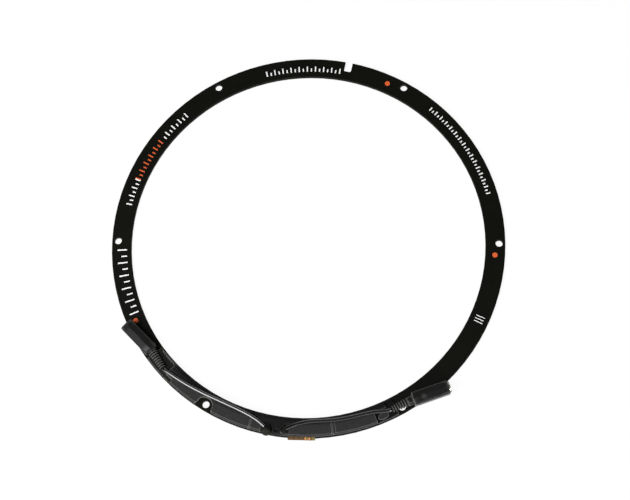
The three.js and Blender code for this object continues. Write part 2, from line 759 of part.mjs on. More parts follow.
function jackContact(jack) {
  const low = jackLength - boreDepth + clearance;
  const high = jackLength - contactSetback;
  const round = contactRadius / 2;
  return inJack(jack, [[0, low], [contactRadius, low], [contactRadius, high - round],
    [contactRadius - round, high], [0, high]], smallSegments);
}

function lead(route) {
  const points = route.map(([x, y, z]) => new THREE.Vector3(x, y, z));
  const length = new THREE.CatmullRomCurve3(points, false, "centripetal").getLength();
  return rod(points, leadDiameter / 2, leadSides, Math.round(length / (leadStepDiameters * leadDiameter)));
}

// Materials
function finish(color, roughness, metalness = 0) {
  return new THREE.MeshStandardMaterial({ color, roughness, metalness });
}

const group = new THREE.Group();

function addPiece(name, geometry, material) {
  const mesh = new THREE.Mesh(geometry, material);
  mesh.name = name;
  group.add(mesh);
}

addPiece("ring_plate", ringPlate(), finish(0x121110, 0.45, 0.6));
addPiece("heater_foil", heaterFoil(), finish(0xb8741c, 0.35));
addPiece("heating_track", heatingTrack(), finish(0x8a4a2c, 0.4, 0.9));
addPiece("terminal_board", terminalBoard(), finish(0x1d4a2a, 0.5));
addPiece("thermistor", thermistor(), finish(0x1a1a1a, 0.4));
addPiece("left_cover", leftCover(), finish(0x26262a, 0.7));
addPiece("centre_cover", centreCover(), finish(0x26262a, 0.7));
addPiece("right_cover", rightCover(), finish(0x26262a, 0.7));
addPiece("left_gland", leftGlandPiece(), finish(0x24221c, 0.6));
addPiece("right_gland", rightGlandPiece(), finish(0x1c1c1c, 0.6));
for (const [index, letter, color] of [[0, "a", 0x8c1a14], [1, "b", 0x151515]]) {
  addPiece(`left_lead_core_${letter}`, leftCore(index), finish(color, 0.5));
  addPiece(`right_lead_core_${letter}`, rightCore(index), finish(color, 0.5));
}
addPiece("left_lead", lead(leftRoute), finish(0x141414, 0.35));
addPiece("right_lead", lead(rightRoute), finish(0x141414, 0.35));
for (const [side, jack] of [["left", leftJack], ["right", rightJack]]) {
  addPiece(`${side}_connector_body`, jackBody(jack), finish(0x202020, 0.6));
  addPiece(`${side}_jack_sleeve`, jackSleeve(jack), finish(0xc8c4ba, 0.25, 1));
  addPiece(`${side}_jack_insulator`, jackInsulator(jack), finish(0x101010, 0.6));
  addPiece(`${side}_jack_contact`, jackContact(jack), finish(0xc9b27a, 0.3, 1));
}
coverScrewAngles.forEach((angle, i) => {
  addPiece(`cover_screw_${i + 1}`, coverScrew(angle), finish(0x3a3a3c, 0.35, 1));
});

export default group;
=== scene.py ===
import math

import bpy
from mathutils import Matrix, Vector


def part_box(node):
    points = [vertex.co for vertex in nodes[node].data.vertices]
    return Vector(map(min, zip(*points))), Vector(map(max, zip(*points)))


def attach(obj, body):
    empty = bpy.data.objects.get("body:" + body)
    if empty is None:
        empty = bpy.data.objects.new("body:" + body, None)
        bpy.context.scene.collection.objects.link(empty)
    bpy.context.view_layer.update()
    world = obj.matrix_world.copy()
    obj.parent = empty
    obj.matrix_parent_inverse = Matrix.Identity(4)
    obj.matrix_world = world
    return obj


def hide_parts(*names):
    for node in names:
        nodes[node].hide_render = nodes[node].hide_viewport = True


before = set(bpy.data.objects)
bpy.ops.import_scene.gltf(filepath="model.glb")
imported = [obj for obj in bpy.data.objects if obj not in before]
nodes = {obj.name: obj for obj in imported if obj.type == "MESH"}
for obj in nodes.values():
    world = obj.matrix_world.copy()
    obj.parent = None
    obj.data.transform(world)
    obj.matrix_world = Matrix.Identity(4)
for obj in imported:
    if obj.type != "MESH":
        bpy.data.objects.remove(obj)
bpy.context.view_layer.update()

scene = bpy.context.scene
MM = 0.001

# Camera
CAMERA_TARGET = Vector((4.98, -4.68, 0)) * MM
CAMERA_AZIMUTH = math.radians(11.11)
CAMERA_ELEVATION = math.radians(74.03)
CAMERA_ROLL = math.radians(-10.3)
CAMERA_DISTANCE = 1.0
CAMERA_LENS = 86.15
CAMERA_SENSOR = 36
CAMERA_NEAR = 0.01

# Studio: the floor, the world's strength along its Y, and the lamps, as (name, azimuth,
# elevation, distance, size, power)
WHITE = (1, 1, 1, 1)
FLOOR_COLOR = (0.9, 0.9, 0.9, 1)
FLOOR_ROUGHNESS = 0.9
FLOOR_SIZE = 6.0
FLOOR_DROP = 0.05 * MM
FLOOR_SHADOW_SHARE = 0.08
WORLD_FRONT = 0.36
WORLD_BACK = 0.04
WORLD_BLEND = (-0.8, 0.3)
LAMPS = [
    ("key", -48, 54, 1.1, (0.4, 0.9), 15),
    ("front", 0, 18, 1.2, (1.6, 0.25), 3),
    ("back", 170, 35, 1.3, (1.0, 0.4), 3),
    ("glint", 27, 26, 1.1, (0.09, 0.5), 4.5),
]

# Finishes: a pair of colours is the darkest and the palest of a mottled surface
NOISE_RANGE = (0.3, 0.7)
PLATE_BLACK = ((0.0022, 0.0022, 0.0014), (0.0038, 0.0037, 0.0025))
COVER_OUTER = ((0.008, 0.008, 0.008), (0.028, 0.028, 0.0274))
# Painted shade: the cover's inner strip and the stretch between the glands are drawn nearly black
COVER_PAINTED_SHADE = ((0.0015, 0.0015, 0.0014), (0.004, 0.004, 0.0038))
COVER_FLANGE = ((0.004, 0.0038, 0.0026), (0.012, 0.0112, 0.008))
# Painted highlights along the edges of the mouldings, here and in the jack's, gland's and rim's edge
# colours; the cover's pair runs from dim in its painted shade to pale
COVER_EDGE_HIGHLIGHTS = ((0.008, 0.008, 0.0078), (0.13, 0.13, 0.127))
JACK_BLACK = ((0.006, 0.006, 0.0058), (0.0105, 0.0105, 0.0102))
JACK_EDGE_HIGHLIGHT = (0.12, 0.12, 0.117)
# Painted highlight: a paler round spot on the right jack's top
JACK_HIGHLIGHT_SPOT_COLOR = (0.03, 0.03, 0.0295)
GLAND_HOOD = ((0.0015, 0.0015, 0.0013), (0.0035, 0.0035, 0.003))
GLAND_BULGE = ((0.009, 0.0088, 0.0062), (0.016, 0.0156, 0.011))
GLAND_EDGE_HIGHLIGHT = (0.035, 0.035, 0.03)
RIM_GRAY = ((0.05, 0.05, 0.046), (0.08, 0.08, 0.075))
RIM_EDGE_HIGHLIGHT = (0.2, 0.2, 0.19)
LEAD_BLACK = ((0.0022, 0.0022, 0.0022), (0.004, 0.004, 0.0038))
# The foil's amber with painted light: darker brown on the left, paler olive on the right where the bent
# film catches the lamps
FOIL_SIDES = ((0.085, 0.042, 0.009), (0.15, 0.115, 0.03))
FOIL_SEAM_COLOR = (0.04, 0.01, 0.002)
FOIL_STREAKS = (0.52, 0.66)
WHITE_INK = (0.8, 0.8, 0.8)
ORANGE_INK = (0.62, 0.1, 0.02)
INK_WEAR = 0.82
SATIN_SPREAD = 0.06

# Where one colour gives way to the next, for the things' own colours and for painted shade and
# highlights: radii, heights, places along X, and distances
SHADED_STRIP_END = (121.2 * MM, 123.4 * MM)
GLAND_BULGE_START = (127.8 * MM, 129 * MM)
FLANGE_TOP = (4.4 * MM, 4.8 * MM)
FAR_LEFT_HIGHLIGHT_END = (-82 * MM, -79 * MM)
FLANGE_SHADE_START = (0, MM)
FOIL_MIDDLE = (0.5 * MM, 1.5 * MM)
SHADE_BETWEEN_GLANDS_END = (6 * MM, 9 * MM)
JACK_HIGHLIGHT_SPOT_END = (0.6 * MM, 2.4 * MM)

# Grooves of the mouldings, as the range of a mesh's pointiness, and the colour of the painted shade in
# them, which also shades the right of the cover's low flanges
GROOVE_DEEP = 0.45
GROOVE_FLAT = 0.49
PAINTED_SHADE_COLOR = (0.0012, 0.0012, 0.0012)

# Outer edges of the mouldings, where painted highlights run, as ranges of a mesh's pointiness
COVER_EDGE = (0.51, 0.54)
JACK_EDGE = (0.515, 0.57)
GLAND_EDGE = (0.53, 0.58)

# Rounding of the CAD solids: the size of a voxel and the rounds of smoothing
WELD_DISTANCE = 0.001 * MM
SMOOTH_FACTOR = 0.5
COVER_ROUNDING = (0.22 * MM, 3)
GLAND_ROUNDING = (0.12 * MM, 6)

# Leads: the routes of their centre lines, in millimetres
LEAD_DIAMETER = 2.6 * MM
LEAD_ROUNDNESS = 6
ROUTE_STEPS = 8
LEFT_ROUTE = [
    (-23.93, -124.58, 8.6), (-25.5, -123.25, 8.6), (-28.6, -120.7, 8.6), (-31.5, -118.75, 8.5),
    (-34.5, -117.0, 8.4), (-37.4, -115.45, 8.32), (-40.4, -114.0, 8.3), (-44.3, -112.2, 8.3),
    (-48.25, -110.45, 8.3), (-52.5, -108.55, 8.3), (-56.8, -106.65, 8.3), (-61.1, -104.8, 8.3),
    (-65.3, -102.85, 8.3), (-69.3, -100.9, 8.3), (-73.25, -98.85, 8.3), (-76.6, -97.0, 8.3),
    (-79.9, -95.05, 8.3), (-83.0, -93.1, 8.3), (-86.0, -91.1, 8.28), (-88.7, -89.35, 8.2),
    (-90.15, -88.35, 8.1), (-91.1, -87.3, 8.02),
]
RIGHT_ROUTE = [
    (-11.26, -125.56, 8.6), (-9.4, -124.75, 8.6), (-7.0, -123.75, 8.6), (-4.5, -122.8, 8.5),
    (-1.75, -121.9, 8.38), (2.3, -120.95, 8.3), (6.5, -120.4, 8.3), (10.3, -120.15, 8.3),
    (14.2, -119.95, 8.3), (18.3, -119.6, 8.3), (22.45, -119.1, 8.3), (26.3, -118.45, 8.3),
    (30.1, -117.65, 8.3), (33.9, -116.7, 8.3), (37.7, -115.7, 8.3), (41.5, -114.75, 8.3),
    (45.3, -113.95, 8.28), (48.5, -113.6, 8.25), (51.7, -113.3, 8.18), (54.2, -112.95, 8.1),
    (56.35, -112.35, 8.02),
]

# Jacks: the place of the shoulder, the headings of the body and of its relief, in degrees
JACK_AXIS_HEIGHT = 8 * MM
JACK_LENGTH = 24.2 * MM
JACK_WIDTH = 8.8 * MM
JACK_HEIGHT = 9.2 * MM
JACK_SIDE_HEIGHT = 6.2 * MM
JACK_EDGE_BEVEL = 0.9 * MM
JACK_ROOF_DROP = 0.55 * MM
JACK_BORE_RADIUS = 3.9 * MM
JACK_BORE_DEPTH = 15 * MM
SLEEVE_RADIUS = 3.6 * MM
SLEEVE_WALL = 0.7 * MM
SLEEVE_EDGE = 0.15 * MM
SLEEVE_INSET = 0.3 * MM
RELIEF_RIB_DEPTH = 0.75 * MM
RELIEF_ROOT_RADIUS = 2.9 * MM
RELIEF_TAIL_RADIUS = 2.0 * MM
RELIEF_CLEARANCE = 0.05 * MM
RELIEF_OVERLAP = 0.2 * MM
RELIEF_COLLAR_EDGE = 0.1
RELIEF_COLLAR_SHARES = (0.3, 0.4, 0.7, 0.95)
RELIEF_SIDES = 56
RIB_STEPS = 8
RIB_SHARE = 0.7
RIB_SQUARENESS = 0.4
SECTION_CORNER_STEPS = 4
SECTION_CORNER = 0.25 * MM
END_ROUND = 0.35 * MM
END_ROUND_STEPS = 3
SHOULDER_STEPS = 6
SHOULDER_REACH = 2.2
BODY_SHARES = (0.2, 0.4, 0.6, 0.8)
FLAT_INSET = 0.12
JACK_SHARP_ANGLE = 40
SLEEVE_SHARP_ANGLE = 30
LEFT_JACK = {
    "place": Vector((-99.4 * MM, -75.4 * MM, JACK_AXIS_HEIGHT)), "heading": 135.4,
    "relief_heading": 124.8, "relief_length": 13.9 * MM, "proud": -0.4 * MM, "shoulder": 0.3 * MM,
    "ribs": 8, "collar": 0.8 * MM,
}
RIGHT_JACK = {
    "place": Vector((69.9 * MM, -105.7 * MM, JACK_AXIS_HEIGHT)), "heading": 20.2,
    "relief_heading": 26.3, "relief_length": 14.5 * MM, "proud": 1.2 * MM, "shoulder": 1.6 * MM,
    "ribs": 6, "collar": 4.4 * MM,
}

# Middle of the painted shade on the cover between the glands, and of the painted highlight on the right
# jack's top
SHADE_BETWEEN_GLANDS = Vector((-18, -122.5, 6.8)) * MM
JACK_HIGHLIGHT_SPOT = Vector((77.0, -104.0, 12.6)) * MM

# Collar round the right gland: the gland's inset from the rim, its angle and the lead's heading
COVER_OUTER_RADIUS = 130 * MM
RIGHT_GLAND = (3.6 * MM, 264.6, 23.5)
COLLAR_RADIUS = 2.7 * MM
COLLAR_WIRE = 0.45 * MM
RIGHT_GLAND_SHARE = 0.76
COLLAR_OPENING = 130
COLLAR_STEPS = 40
COLLAR_SIDES = 12

# Printed marks on the plate's face, in millimetres and degrees: ticks as (first angle, last
# angle, inner radius, outer radius, pitch, colour), dots as (angle, radius), and lines as
# (angle, inner radius, outer radius)
PLATE_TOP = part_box("ring_plate")[1].z
MARK_THICKNESS = 0.03 * MM
MARK_LIFT = 0.01 * MM
TICK_WIDTH = 0.85 * MM
SHORT_TICK_SHARE = 0.6
TICK_GROUPS = [
    (80.9, 104.3, 121.2, 124.9, 1.3, "white"),
    (133.6, 143.4, 121.1, 125.0, 1.4, "white"),
    (145.4, 159.3, 121.1, 125.0, 1.4, "orange"),
    (159.7, 168.0, 121.1, 125.0, 1.38, "white"),
    (183.0, 203.6, 120.3, 126.6, 2.06, "white"),
    (16.1, 49.1, 123.0, 125.9, 1.1, "white"),
]
DOT_RADIUS = 1.7 * MM
DOT_SIDES = 32
DOTS = [(65.2, 124.0), (356.25, 123.8), (206.0, 124.3)]
PLATE_LINES = [(334.6, 121.2, 127.1), (335.5, 121.2, 127.1), (336.4, 121.2, 127.1)]
LINE_WIDTH = 0.5 * MM


def polar(radius, angle, z=0.0):
    turn = math.radians(angle)
    return Vector((radius * math.cos(turn), radius * math.sin(turn), z))


def add_object(name, data):
    piece = bpy.data.objects.new(name, data)
    scene.collection.objects.link(piece)
    return piece


# Camera and studio
def place_camera():
    east = Vector((math.cos(CAMERA_AZIMUTH), math.sin(CAMERA_AZIMUTH), 0))
    back = Vector((math.sin(CAMERA_AZIMUTH) * math.cos(CAMERA_ELEVATION),
                   -math.cos(CAMERA_AZIMUTH) * math.cos(CAMERA_ELEVATION),
                   math.sin(CAMERA_ELEVATION)))
    up = back.cross(east)
    right = east * math.cos(CAMERA_ROLL) + up * math.sin(CAMERA_ROLL)
    top = back.cross(right)
    data = bpy.data.cameras.new("camera")
    data.lens = CAMERA_LENS
    data.sensor_width = CAMERA_SENSOR
    data.sensor_fit = "HORIZONTAL"
    data.clip_start = CAMERA_NEAR
    camera = add_object("camera", data)
    turn = Matrix((right, top, back)).transposed().to_4x4()
    camera.matrix_world = Matrix.Translation(CAMERA_TARGET + back * CAMERA_DISTANCE) @ turn
    scene.camera = camera


def seen_directly(tree):
    """1 where the camera, a mirror or glass sees the surface itself."""
    path = tree.nodes.new("ShaderNodeLightPath")
    either = math_result(tree, "MAXIMUM", path.outputs["Is Camera Ray"], path.outputs["Is Glossy Ray"])
    return math_result(tree, "MAXIMUM", either, path.outputs["Is Transmission Ray"])


def make_floor():
    half = FLOOR_SIZE / 2
    mesh = bpy.data.meshes.new("floor")
    square = ((-half, -half), (half, -half), (half, half), (-half, half))
    corners = [(x, y, -FLOOR_DROP) for x, y in square]
    mesh.from_pydata(corners, [], [(0, 1, 2, 3)])
    floor = add_object("floor", mesh)
    material = bpy.data.materials.new("floor_white")
    material.use_nodes = True
    tree = material.node_tree
    paint = tree.nodes["Principled BSDF"]
    paint.inputs["Base Color"].default_value = FLOOR_COLOR
    paint.inputs["Roughness"].default_value = FLOOR_ROUGHNESS
    paint.inputs["Specular IOR Level"].default_value = 0.0
    glow = tree.nodes.new("ShaderNodeEmission")
    glow.inputs["Strength"].default_value = 1.0
    share = tree.nodes.new("ShaderNodeMath")
    share.operation = "MULTIPLY"
    share.inputs[1].default_value = 1 - FLOOR_SHADOW_SHARE
    tree.links.new(seen_directly(tree), share.inputs[0])
    mix = tree.nodes.new("ShaderNodeMixShader")
    tree.links.new(share.outputs[0], mix.inputs[0])
    tree.links.new(paint.outputs[0], mix.inputs[1])
    tree.links.new(glow.outputs[0], mix.inputs[2])
    # From below, the floor lets the rear face show
    clear = tree.nodes.new("ShaderNodeBsdfTransparent")
    side = tree.nodes.new("ShaderNodeNewGeometry")
    either = tree.nodes.new("ShaderNodeMixShader")
    tree.links.new(side.outputs["Backfacing"], either.inputs[0])
    tree.links.new(mix.outputs[0], either.inputs[1])
    tree.links.new(clear.outputs[0], either.inputs[2])
    tree.links.new(either.outputs[0], tree.nodes["Material Output"].inputs["Surface"])
    mesh.materials.append(material)


def make_world():
    world = bpy.data.worlds.new("studio")
    scene.world = world
    world.use_nodes = True
    tree = world.node_tree
    light = tree.nodes["Background"]
    light.inputs["Color"].default_value = WHITE
    direction = tree.nodes.new("ShaderNodeTexCoord")
    split = tree.nodes.new("ShaderNodeSeparateXYZ")
    tree.links.new(direction.outputs["Generated"], split.inputs[0])
    strength = ranged(tree, split.outputs["Y"], *WORLD_BLEND, WORLD_FRONT, WORLD_BACK)
    tree.links.new(strength, light.inputs["Strength"])
    white = tree.nodes.new("ShaderNodeBackground")
    white.inputs["Color"].default_value = WHITE
    white.inputs["Strength"].default_value = 1.0
    path = tree.nodes.new("ShaderNodeLightPath")
    mix = tree.nodes.new("ShaderNodeMixShader")
    tree.links.new(path.outputs["Is Camera Ray"], mix.inputs[0])
    tree.links.new(light.outputs[0], mix.inputs[1])
    tree.links.new(white.outputs[0], mix.inputs[2])
    tree.links.new(mix.outputs[0], tree.nodes["World Output"].inputs["Surface"])


def area_light(name, azimuth, elevation, distance, size, power):
    """A rectangular lamp that looks at the ring, its long side level. Azimuth 0 is over -Y."""
    a = math.radians(azimuth)
    e = math.radians(elevation)
    back = Vector((math.sin(a) * math.cos(e), -math.cos(a) * math.cos(e), math.sin(e)))
    data = bpy.data.lights.new(name, "AREA")
    data.shape = "RECTANGLE"
    data.size, data.size_y = size
    data.energy = power
    lamp = add_object(name, data)
    turn = back.to_track_quat("Z", "Y").to_matrix().to_4x4()
    lamp.matrix_world = Matrix.Translation(back * distance) @ turn


# Materials
def shader(name, color, roughness, specular=0.5, metallic=0.0):
    material = bpy.data.materials.new(name)
    material.use_nodes = True
    surface = material.node_tree.nodes["Principled BSDF"]
    surface.inputs["Base Color"].default_value = (*color, 1)
    surface.inputs["Roughness"].default_value = roughness
    surface.inputs["Metallic"].default_value = metallic
    surface.inputs["Specular IOR Level"].default_value = specular
    return material, material.node_tree, surface


def coordinates(tree, stretch=(1, 1, 1)):
    place = tree.nodes.new("ShaderNodeTexCoord")
    mapping = tree.nodes.new("ShaderNodeMapping")
    mapping.inputs["Scale"].default_value = stretch
    tree.links.new(place.outputs["Object"], mapping.inputs["Vector"])
    return mapping.outputs["Vector"]


def noise(tree, size, detail, stretch=(1, 1, 1)):
    """Noise with features of about that size, in metres."""
    node = tree.nodes.new("ShaderNodeTexNoise")
    node.inputs["Scale"].default_value = 1 / size
    node.inputs["Detail"].default_value = detail
    tree.links.new(coordinates(tree, stretch), node.inputs["Vector"])
    return node.outputs["Fac"]


def ranged(tree, value, low, high, to_low, to_high):
    node = tree.nodes.new("ShaderNodeMapRange")
    node.inputs["From Min"].default_value = low
    node.inputs["From Max"].default_value = high
    node.inputs["To Min"].default_value = to_low
    node.inputs["To Max"].default_value = to_high
    tree.links.new(value, node.inputs["Value"])
    return node.outputs["Result"]


def blend_colors(tree, share, first, second):
    """Mixes two colours, each a socket or three numbers, by a share."""
    node = tree.nodes.new("ShaderNodeMix")
    node.data_type = "RGBA"
    tree.links.new(share, node.inputs["Factor"])
    for value, socket in ((first, node.inputs[6]), (second, node.inputs[7])):
        if isinstance(value, tuple):
            socket.default_value = (*value, 1)
        else:
            tree.links.new(value, socket)
    return node.outputs[2]


def mottled(tree, colors, size, detail):
    """A patchy blend of a dark and a pale colour."""
    return blend_colors(tree, noise(tree, size, detail), *colors)


def vary_roughness(tree, surface, texture, low, high):
    tree.links.new(ranged(tree, texture, *NOISE_RANGE, low, high), surface.inputs["Roughness"])


def add_bump(tree, surface, height, depth, strength):
    node = tree.nodes.new("ShaderNodeBump")
    node.inputs["Distance"].default_value = depth
    node.inputs["Strength"].default_value = strength
    tree.links.new(height, node.inputs["Height"])
    tree.links.new(node.outputs["Normal"], surface.inputs["Normal"])


def edge_share(tree, low, high):
    """0 on flat faces and 1 along sharp outer edges of a dense mesh."""
    geometry = tree.nodes.new("ShaderNodeNewGeometry")
    return ranged(tree, geometry.outputs["Pointiness"], low, high, 0, 1)


def edge_highlights_and_groove_shade(tree, body, highlight_color, low, high):
    """Painted highlights along outer edges, and painted shade, nearly black, in grooves."""
    groove_shaded = blend_colors(tree, edge_share(tree, GROOVE_DEEP, GROOVE_FLAT), PAINTED_SHADE_COLOR, body)
    return blend_colors(tree, edge_share(tree, low, high), groove_shaded, highlight_color)


def place_axes(tree):
    """The surface's own X, Y and Z, in metres."""
    place = tree.nodes.new("ShaderNodeTexCoord")
    split = tree.nodes.new("ShaderNodeSeparateXYZ")
    tree.links.new(place.outputs["Object"], split.inputs[0])
    return split.outputs


def ring_radius(tree):
    """The distance from the ring's axis."""
    x, y, _ = place_axes(tree)
    join = tree.nodes.new("ShaderNodeCombineXYZ")
    tree.links.new(x, join.inputs[0])
    tree.links.new(y, join.inputs[1])
    length = tree.nodes.new("ShaderNodeVectorMath")
    length.operation = "LENGTH"
    tree.links.new(join.outputs[0], length.inputs[0])
    return length.outputs["Value"]


def distance_share(tree, centre, inner, outer):
    """0 within the inner distance of a point and 1 past the outer one."""
    place = tree.nodes.new("ShaderNodeTexCoord")
    gap = tree.nodes.new("ShaderNodeVectorMath")
    gap.operation = "DISTANCE"
    tree.links.new(place.outputs["Object"], gap.inputs[0])
    gap.inputs[1].default_value = centre
    return ranged(tree, gap.outputs["Value"], inner, outer, 0, 1)


def math_result(tree, operation, first, second):
    node = tree.nodes.new("ShaderNodeMath")
    node.operation = operation
    tree.links.new(first, node.inputs[0])
    tree.links.new(second, node.inputs[1])
    return node.outputs[0]


def cover_plastic():
    """Dark moulding, greyer on the outer strip, with painted shade: nearly black on the inner strip,
    between the glands and on the right of the low flanges, which are olive on the left. Its edges carry
    painted highlights.
    """
    material, tree, surface = shader("matt_cover_plastic", COVER_OUTER[0], roughness=0.5, specular=0.1)
    x, _, height = place_axes(tree)
    outer = mottled(tree, COVER_OUTER, size=1.6 * MM, detail=5)
    inner = mottled(tree, COVER_PAINTED_SHADE, size=1.6 * MM, detail=5)
    # Painted shade: nearly black on the inner strip and round the middle between the glands
    past_shaded_strip = ranged(tree, ring_radius(tree), *SHADED_STRIP_END, 0, 1)
    past_shade_between_glands = distance_share(tree, SHADE_BETWEEN_GLANDS, *SHADE_BETWEEN_GLANDS_END)
    reach = math_result(tree, "MINIMUM", past_shaded_strip, past_shade_between_glands)
    body = blend_colors(tree, reach, inner, outer)
    flange = mottled(tree, COVER_FLANGE, size=2.5 * MM, detail=4)
    # Painted shade: right of the middle, the low flange is drawn nearly black
    flange = blend_colors(tree, ranged(tree, x, *FLANGE_SHADE_START, 0, 1), flange, PAINTED_SHADE_COLOR)
    body = blend_colors(tree, ranged(tree, height, *FLANGE_TOP, 0, 1), flange, body)
    # Painted highlights on the edges: dim in the painted shade except at the far left, pale elsewhere
    edge_highlight_share = math_result(tree, "MAXIMUM", reach, ranged(tree, x, *FAR_LEFT_HIGHLIGHT_END, 1, 0))
    color = edge_highlights_and_groove_shade(tree, body, blend_colors(tree, edge_highlight_share, *COVER_EDGE_HIGHLIGHTS), *COVER_EDGE)
    tree.links.new(color, surface.inputs["Base Color"])
    vary_roughness(tree, surface, noise(tree, size=1.5 * MM, detail=3), low=0.42, high=0.56)
    add_bump(tree, surface, noise(tree, size=0.4 * MM, detail=3), depth=0.04 * MM, strength=0.7)
    return material


def plate_paint():
    material, tree, surface = shader("satin_black_plate", PLATE_BLACK[0], roughness=0.45, specular=0.06)
    tree.links.new(mottled(tree, PLATE_BLACK, size=9 * MM, detail=3), surface.inputs["Base Color"])
    vary_roughness(tree, surface, noise(tree, size=2.5 * MM, detail=4), low=0.44, high=0.58)
    add_bump(tree, surface, noise(tree, size=0.25 * MM, detail=3), depth=0.01 * MM, strength=0.5)
    return material


def moulded_plastic(name, colors, highlight_color, roughness, specular):
    """Satin moulding with painted highlights on its edges and painted shade in its grooves. Near a point
    on the right jack's top it is paler, a painted highlight.
    """
    material, tree, surface = shader(name, colors[0], roughness, specular)
    body = mottled(tree, colors, size=5 * MM, detail=4)
    # Painted highlight: paler round a point on the right jack's top
    body = blend_colors(tree, distance_share(tree, JACK_HIGHLIGHT_SPOT, *JACK_HIGHLIGHT_SPOT_END), JACK_HIGHLIGHT_SPOT_COLOR, body)
    tree.links.new(edge_highlights_and_groove_shade(tree, body, highlight_color, *JACK_EDGE), surface.inputs["Base Color"])
    texture = noise(tree, size=1.5 * MM, detail=3)
    vary_roughness(tree, surface, texture, roughness - SATIN_SPREAD, roughness + SATIN_SPREAD)
    add_bump(tree, surface, noise(tree, size=0.35 * MM, detail=2), depth=0.03 * MM, strength=0.6)
    return material


def gland_rubber():
    """Nearly black rubber, olive where it bulges past the rim."""
    material, tree, surface = shader("gland_rubber_finish", GLAND_HOOD[0], roughness=0.55, specular=0.08)
    hood = mottled(tree, GLAND_HOOD, size=2 * MM, detail=3)
    bulge = mottled(tree, GLAND_BULGE, size=2 * MM, detail=3)
    body = blend_colors(tree, ranged(tree, ring_radius(tree), *GLAND_BULGE_START, 0, 1), hood, bulge)
    # Painted highlights along the edges and painted shade in the grooves
    tree.links.new(edge_highlights_and_groove_shade(tree, body, GLAND_EDGE_HIGHLIGHT, *GLAND_EDGE), surface.inputs["Base Color"])
    vary_roughness(tree, surface, noise(tree, size=MM, detail=3), low=0.48, high=0.62)
    add_bump(tree, surface, noise(tree, size=0.3 * MM, detail=2), depth=0.03 * MM, strength=0.6)
    return material


def lead_jacket():
    material, tree, surface = shader("black_lead_jacket", LEAD_BLACK[0], roughness=0.12, specular=0.8)
    tree.links.new(mottled(tree, LEAD_BLACK, size=3 * MM, detail=3), surface.inputs["Base Color"])
    vary_roughness(tree, surface, noise(tree, size=1.2 * MM, detail=3), low=0.08, high=0.18)
    add_bump(tree, surface, noise(tree, size=1.8 * MM, detail=2), depth=0.02 * MM, strength=0.25)
    return material


def foil_film():
    """Amber film over etched strips, with dark red streaks. Partly painted light: darker brown on the
    left and paler olive on the right, where the bent film catches the lamps.
    """
    material, tree, surface = shader("amber_film", FOIL_SIDES[0], roughness=0.35, specular=0.2)
    # Painted light: the film is drawn paler and more olive to the right
    body = blend_colors(tree, ranged(tree, place_axes(tree)[0], *FOIL_MIDDLE, 0, 1), *FOIL_SIDES)
    texture = noise(tree, size=2.2 * MM, detail=3, stretch=(1, 0.25, 0.25))
    color = blend_colors(tree, ranged(tree, texture, *FOIL_STREAKS, 0, 1), body, FOIL_SEAM_COLOR)
    tree.links.new(color, surface.inputs["Base Color"])
    ripple = noise(tree, size=1.1 * MM, detail=2, stretch=(1, 0.3, 0.3))
    add_bump(tree, surface, ripple, depth=0.05 * MM, strength=0.5)
    return material


def plated(name, color, roughness):
    material, tree, surface = shader(name, color, roughness, metallic=1.0)
    brushed = noise(tree, size=0.5 * MM, detail=3)
    vary_roughness(tree, surface, brushed, roughness * 0.7, roughness * 1.4)
    add_bump(tree, surface, brushed, depth=0.006 * MM, strength=0.5)
    return material


def plain_finish(name, colors, roughness):
    material, tree, surface = shader(name, colors[0], roughness, specular=0.4)
    tree.links.new(mottled(tree, colors, size=2 * MM, detail=3), surface.inputs["Base Color"])
    add_bump(tree, surface, noise(tree, size=0.5 * MM, detail=2), depth=0.02 * MM, strength=0.4)
    return material


def ink(name, color):
    material, tree, surface = shader(name, color, roughness=0.6, specular=0.3)
    worn = tuple(INK_WEAR * c for c in color)
    tree.links.new(mottled(tree, (worn, color), size=0.6 * MM, detail=3), surface.inputs["Base Color"])
    add_bump(tree, surface, noise(tree, size=0.2 * MM, detail=2), depth=0.008 * MM, strength=0.4)
    return material


# Meshes
def mesh_object(name, vertices, faces, smooth=True):
    mesh = bpy.data.meshes.new(name)
    mesh.from_pydata(vertices, [], faces)
    mesh.validate()
    if smooth:
        mesh.shade_smooth()
    return add_object(name, mesh)


def loft(loops, close_start=False, close_end=False):
    """Vertices and faces that join loops of equal length, one after another."""
    count = len(loops[0])
    vertices = [v for ring in loops for v in ring]
    faces = []
    for i in range(len(loops) - 1):
        for k in range(count):
            nxt = (k + 1) % count
            faces.append((i * count + k, i * count + nxt, (i + 1) * count + nxt, (i + 1) * count + k))
    if close_start:
        faces.append(tuple(reversed(range(count))))
    if close_end:
        faces.append(tuple(range((len(loops) - 1) * count, len(loops) * count)))
    return vertices, faces


def circle_loop(x, radius):
    """A circle round the X axis."""
    turns = [2 * math.pi * k / RELIEF_SIDES for k in range(RELIEF_SIDES)]
    return [(x, radius * math.cos(turn), radius * math.sin(turn)) for turn in turns]


def along(vertices, heading, place):
    """Turns vertices built along X to a heading and moves them to a place."""
    turn = Matrix.Translation(place) @ Matrix.Rotation(math.radians(heading), 4, "Z")
    return [turn @ Vector(v) for v in vertices]


def softened(node, voxel, rounds):
    """A copy of a CAD solid with its edges rounded as in a moulding."""
    mesh = nodes[node].data.copy()
    mesh.materials.clear()
    piece = add_object(f"{node}_moulding", mesh)
    weld = piece.modifiers.new("weld", "WELD")
    weld.merge_threshold = WELD_DISTANCE
    remesh = piece.modifiers.new("remesh", "REMESH")
    remesh.mode = "VOXEL"
    remesh.voxel_size = voxel
    smooth = piece.modifiers.new("smooth", "SMOOTH")
    smooth.factor = SMOOTH_FACTOR
    smooth.iterations = rounds
    graph = bpy.context.evaluated_depsgraph_get()
    done = bpy.data.meshes.new_from_object(piece.evaluated_get(graph))
    piece.modifiers.clear()
    piece.data = done
    done.name = piece.name
    done.shade_smooth()
    return piece


